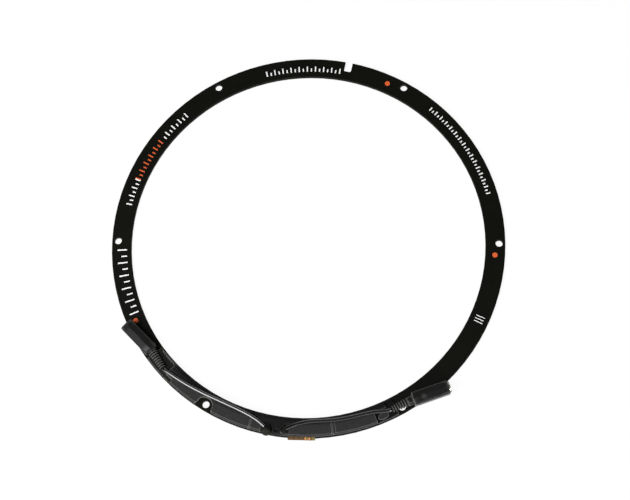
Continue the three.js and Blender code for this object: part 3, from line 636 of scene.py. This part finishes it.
def dress(piece, material, slot=None):
    piece.data.materials.clear()
    piece.data.materials.append(material)
    if slot:
        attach(piece, "root")


# Leads
def smooth_route(points):
    """The centripetal curve through the route's points."""
    points = [Vector(p) * MM for p in points]
    first = points[0] * 2 - points[1]
    last = points[-1] * 2 - points[-2]
    padded = [first, *points, last]
    line = []
    for i in range(len(points) - 1):
        p0, p1, p2, p3 = padded[i:i + 4]
        t1 = math.sqrt((p1 - p0).length)
        t2 = t1 + math.sqrt((p2 - p1).length)
        t3 = t2 + math.sqrt((p3 - p2).length)
        for k in range(ROUTE_STEPS):
            t = t1 + (t2 - t1) * k / ROUTE_STEPS
            a1 = p0.lerp(p1, t / t1)
            a2 = p1.lerp(p2, (t - t1) / (t2 - t1))
            a3 = p2.lerp(p3, (t - t2) / (t3 - t2))
            b1 = a1.lerp(a2, t / t2)
            b2 = a2.lerp(a3, (t - t1) / (t3 - t1))
            line.append(b1.lerp(b2, (t - t1) / (t2 - t1)))
    line.append(points[-1])
    return line


def make_lead(name, route):
    line = smooth_route(route)
    data = bpy.data.curves.new(name, "CURVE")
    data.dimensions = "3D"
    data.bevel_depth = LEAD_DIAMETER / 2
    data.bevel_resolution = LEAD_ROUNDNESS
    data.use_fill_caps = True
    spline = data.splines.new("POLY")
    spline.points.add(len(line) - 1)
    for point, place in zip(spline.points, line):
        point.co = (*place, 1)
    spline.use_smooth = True
    length = sum((b - a).length for a, b in zip(line, line[1:]))
    return add_object(name, data), line[0], length


# Jacks
def section_outline(shrink):
    """The jack's section in Y and Z, as corner points, with a hipped roof and floor."""
    side = JACK_WIDTH / 2 - shrink
    top = JACK_HEIGHT / 2 - shrink
    wall = JACK_SIDE_HEIGHT / 2 - shrink / 2
    roof = top - JACK_ROOF_DROP
    eave = side - JACK_EDGE_BEVEL
    upper = [(side, wall), (eave, roof), (0, top), (-eave, roof), (-side, wall)]
    return upper + [(y, -z) for y, z in reversed(upper)]


def rounded_outline(corners, radius, steps):
    """Each corner cut by a short curve, all with the same number of points."""
    count = len(corners)
    curves = []
    for i, corner in enumerate(corners):
        here = Vector(corner)
        before = Vector(corners[i - 1]) - here
        after = Vector(corners[(i + 1) % count]) - here
        a = here + before.normalized() * min(radius, before.length / 2)
        b = here + after.normalized() * min(radius, after.length / 2)
        shares = [k / steps for k in range(steps + 1)]
        curves.append([a.lerp(here, t).lerp(here.lerp(b, t), t) for t in shares])
    points = []
    for i, curve in enumerate(curves):
        following = curves[(i + 1) % count][0]
        points += curve
        points += [curve[-1].lerp(following, share) for share in (FLAT_INSET, 0.5, 1 - FLAT_INSET)]
    return points


def jack_shell(jack):
    """The jack's body from its shoulder to its mouth, with an open bore."""
    loops = []

    def section(x, shrink, cap=None):
        ring = []
        for point in rounded_outline(section_outline(shrink), SECTION_CORNER, SECTION_CORNER_STEPS):
            reach = point.length
            if cap is not None and reach > cap:
                point = point * (cap / reach)
            ring.append((x, point.x, point.y))
        loops.append(ring)

    def circle(x, radius):
        outline = rounded_outline(section_outline(0), SECTION_CORNER, SECTION_CORNER_STEPS)
        loops.append([(x, *(p.normalized() * radius)) for p in outline])

    shoulder = jack["shoulder"]
    reach = math.hypot(JACK_WIDTH, JACK_HEIGHT) / 2
    start = JACK_WIDTH / 2 - shoulder / 2
    circle(0, RELIEF_TAIL_RADIUS)
    for k in range(SHOULDER_STEPS + 1):
        t = k / SHOULDER_STEPS
        cap = start + (reach - start) * math.sin(t * math.pi / 2)
        section(SHOULDER_REACH * shoulder * (1 - math.cos(t * math.pi / 2)), END_ROUND * (1 - t), cap)
    for share in BODY_SHARES:
        section(JACK_LENGTH * share, 0)
    for k in range(END_ROUND_STEPS + 1):
        turn = k / END_ROUND_STEPS * math.pi / 2
        section(JACK_LENGTH - END_ROUND * (1 - math.sin(turn)), END_ROUND * (1 - math.cos(turn)))
    circle(JACK_LENGTH, JACK_BORE_RADIUS + END_ROUND)
    circle(JACK_LENGTH - END_ROUND / 3, JACK_BORE_RADIUS + END_ROUND / 4)
    circle(JACK_LENGTH - END_ROUND, JACK_BORE_RADIUS)
    circle(JACK_LENGTH - JACK_BORE_DEPTH, JACK_BORE_RADIUS)
    return loft(loops, close_start=True, close_end=True)


def relief_shell(jack):
    """The ribbed relief, tapered from the shoulder to the lead, with round-topped ribs."""
    length = jack["relief_length"]
    ribs = jack["ribs"]
    ribbed = length - jack["collar"]
    pitch = ribbed / ribs
    loops = []

    def circle(x, radius):
        loops.append(circle_loop(x, radius))

    circle(-length, LEAD_DIAMETER / 2 + RELIEF_CLEARANCE)
    for rib in range(ribs):
        crest = RELIEF_TAIL_RADIUS + (RELIEF_ROOT_RADIUS - RELIEF_TAIL_RADIUS) * (rib + 0.5) / ribs
        for k in range(RIB_STEPS):
            t = k / RIB_STEPS
            swell = max(0.0, math.sin(math.pi * min(1.0, t / RIB_SHARE))) ** RIB_SQUARENESS
            circle(-length + (rib + t) * pitch, crest - RELIEF_RIB_DEPTH * (1 - swell))
    start = ribbed - length
    circle(start, RELIEF_ROOT_RADIUS - RELIEF_RIB_DEPTH)
    circle(start + RELIEF_COLLAR_EDGE * jack["collar"], RELIEF_ROOT_RADIUS - RELIEF_RIB_DEPTH / 4)
    for share in RELIEF_COLLAR_SHARES:
        circle(start + share * jack["collar"], RELIEF_ROOT_RADIUS)
    circle(RELIEF_OVERLAP, RELIEF_ROOT_RADIUS)
    return loft(loops, close_start=True, close_end=True)


def jack_body(side, jack):
    """Body and relief in one mesh, since they are one moulding."""
    shell, shell_faces = jack_shell(jack)
    relief, relief_faces = relief_shell(jack)
    shell = along(shell, jack["heading"], jack["place"])
    relief = along(relief, jack["relief_heading"], jack["place"])
    offset = len(shell)
    faces = shell_faces + [tuple(i + offset for i in face) for face in relief_faces]
    piece = mesh_object(f"{side}_jack_moulding", shell + relief, faces)
    piece.data.set_sharp_from_angle(angle=math.radians(JACK_SHARP_ANGLE))
    return piece


def jack_sleeve(side, jack):
    low = JACK_LENGTH - JACK_BORE_DEPTH + SLEEVE_INSET
    high = JACK_LENGTH + jack["proud"]
    inner = SLEEVE_RADIUS - SLEEVE_WALL
    profile = [(low, inner), (low, SLEEVE_RADIUS), (high - SLEEVE_EDGE, SLEEVE_RADIUS),
               (high, SLEEVE_RADIUS - SLEEVE_EDGE), (high, inner + SLEEVE_EDGE),
               (high - SLEEVE_EDGE, inner), (low, inner)]
    vertices, faces = loft([circle_loop(x, radius) for x, radius in profile])
    piece = mesh_object(f"{side}_sleeve", along(vertices, jack["heading"], jack["place"]), faces)
    piece.data.set_sharp_from_angle(angle=math.radians(SLEEVE_SHARP_ANGLE))
    return piece


# Glands
def right_gland_centre():
    """The middle of the gland, on the cover's top."""
    inset, angle, _ = RIGHT_GLAND
    return polar(COVER_OUTER_RADIUS - inset, angle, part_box("centre_cover")[1].z)


def slimmed(piece, centre, share):
    """The piece drawn in towards an upright line through the centre."""
    place = Matrix.Translation(centre)
    piece.data.transform(place @ Matrix.Diagonal((share, share, 1, 1)) @ place.inverted())


def gland_collar():
    """A thin raised rim on the cover, open towards the lead."""
    centre = right_gland_centre()
    heading = RIGHT_GLAND[2]
    loops = []
    for k in range(COLLAR_STEPS + 1):
        turn = math.radians(heading + COLLAR_OPENING / 2 + (360 - COLLAR_OPENING) * k / COLLAR_STEPS)
        out = Vector((math.cos(turn), math.sin(turn), 0))
        ring = []
        for j in range(COLLAR_SIDES):
            side = 2 * math.pi * j / COLLAR_SIDES
            ring.append(centre + out * (COLLAR_RADIUS + COLLAR_WIRE * math.cos(side))
                        + Vector((0, 0, COLLAR_WIRE * math.sin(side))))
        loops.append(ring)
    vertices, faces = loft(loops, close_start=True, close_end=True)
    return mesh_object("right_gland_collar", vertices, faces)


# Printed marks
def bar(angle, inner, outer, width):
    """A flat radial bar on the plate, as eight corners and six faces."""
    across = Vector((-math.sin(math.radians(angle)), math.cos(math.radians(angle)), 0)) * (width / 2)
    low = PLATE_TOP + MARK_LIFT
    high = low + MARK_THICKNESS
    corners = []
    for z in (low, high):
        for radius, side in ((inner, -1), (outer, -1), (outer, 1), (inner, 1)):
            corners.append(polar(radius, angle, z) + across * side)
    faces = [(3, 2, 1, 0), (4, 5, 6, 7), (0, 1, 5, 4), (1, 2, 6, 5), (2, 3, 7, 6), (3, 0, 4, 7)]
    return corners, faces


def dot(angle, radius):
    centre = polar(radius * MM, angle)
    loops = []
    for z in (PLATE_TOP + MARK_LIFT, PLATE_TOP + MARK_LIFT + MARK_THICKNESS):
        loops.append([centre + polar(DOT_RADIUS, 360 * k / DOT_SIDES, z) for k in range(DOT_SIDES)])
    return loft(loops, close_start=True, close_end=True)


def make_marks(inks):
    parts = {"white": [], "orange": []}
    for first, last, inner, outer, pitch, color in TICK_GROUPS:
        count = round((last - first) / pitch)
        for k in range(count + 1):
            angle = first + (last - first) * k / count
            share = 1 if k % 2 == 0 else SHORT_TICK_SHARE
            top = inner + (outer - inner) * share
            parts[color].append(bar(angle, inner * MM, top * MM, TICK_WIDTH))
    for angle, radius in DOTS:
        parts["orange"].append(dot(angle, radius))
    for angle, inner, outer in PLATE_LINES:
        parts["white"].append(bar(angle, inner * MM, outer * MM, LINE_WIDTH))
    for color, meshes in parts.items():
        vertices, faces = [], []
        for corners, sides in meshes:
            faces += [tuple(i + len(vertices) for i in face) for face in sides]
            vertices += corners
        piece = mesh_object(f"{color}_marks", vertices, faces, smooth=False)
        dress(piece, inks[color], "black_anodised_plate")


# Build
place_camera()
make_world()
make_floor()
for lamp in LAMPS:
    area_light(*lamp)

plate = plate_paint()
cover = cover_plastic()
gland = gland_rubber()
jack_finish = moulded_plastic("jack_plastic", JACK_BLACK, JACK_EDGE_HIGHLIGHT, roughness=0.3, specular=0.13)
rim_rubber = moulded_plastic("gland_rim_rubber", RIM_GRAY, RIM_EDGE_HIGHLIGHT, roughness=0.3, specular=0.3)
jacket = lead_jacket()
nickel = plated("nickel_plating", (0.42, 0.41, 0.38), 0.3)
copper = plated("etched_copper", (0.5, 0.2, 0.08), 0.4)
contact = plated("contact_plating", (0.8, 0.66, 0.36), 0.25)
steel = plated("blackened_steel", (0.12, 0.12, 0.125), 0.4)
board = plain_finish("solder_mask", ((0.01, 0.07, 0.025), (0.02, 0.11, 0.04)), 0.4)
bead = plain_finish("sensor_epoxy", ((0.012, 0.012, 0.012), (0.03, 0.03, 0.03)), 0.35)
red_core = plain_finish("red_insulation", ((0.25, 0.012, 0.01), (0.36, 0.02, 0.015)), 0.4)
black_core = plain_finish("black_insulation", ((0.01, 0.01, 0.01), (0.02, 0.02, 0.02)), 0.4)
insulator = plain_finish("jack_insulation", ((0.008, 0.008, 0.008), (0.018, 0.018, 0.018)), 0.5)
inks = {"white": ink("white_ink", WHITE_INK), "orange": ink("orange_ink", ORANGE_INK)}

dress(nodes["ring_plate"], plate)
dress(nodes["heater_foil"], foil_film())
dress(nodes["heating_track"], copper)
dress(nodes["terminal_board"], board)
dress(nodes["thermistor"], bead)
for side in ("left", "right"):
    dress(nodes[f"{side}_lead_core_a"], red_core)
    dress(nodes[f"{side}_lead_core_b"], black_core)
    dress(nodes[f"{side}_jack_insulator"], insulator)
    dress(nodes[f"{side}_jack_contact"], contact)
for number in range(1, 7):
    dress(nodes[f"cover_screw_{number}"], steel)

for node in ("left_cover", "centre_cover", "right_cover"):
    piece = softened(node, *COVER_ROUNDING)
    dress(piece, cover, "cover_plastic")
    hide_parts(node)
for node in ("left_gland", "right_gland"):
    piece = softened(node, *GLAND_ROUNDING)
    if node == "right_gland":
        slimmed(piece, right_gland_centre(), RIGHT_GLAND_SHARE)
    dress(piece, gland, "gland_rubber")
    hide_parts(node)
dress(gland_collar(), rim_rubber, "gland_rubber")
make_marks(inks)

for side, route, jack in (("left", LEFT_ROUTE, LEFT_JACK), ("right", RIGHT_ROUTE, RIGHT_JACK)):
    moulding = jack_body(side, jack)
    dress(moulding, jack_finish, "connector_plastic")
    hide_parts(f"{side}_connector_body")
    sleeve = jack_sleeve(side, jack)
    dress(sleeve, nickel, "nickel_sleeve")
    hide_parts(f"{side}_jack_sleeve")
    lead, start, length = make_lead(f"{side}_lead_jacket", route)
    dress(lead, jacket, "lead_jacket")
    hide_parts(f"{side}_lead")

scene.view_settings.view_transform = "Standard"
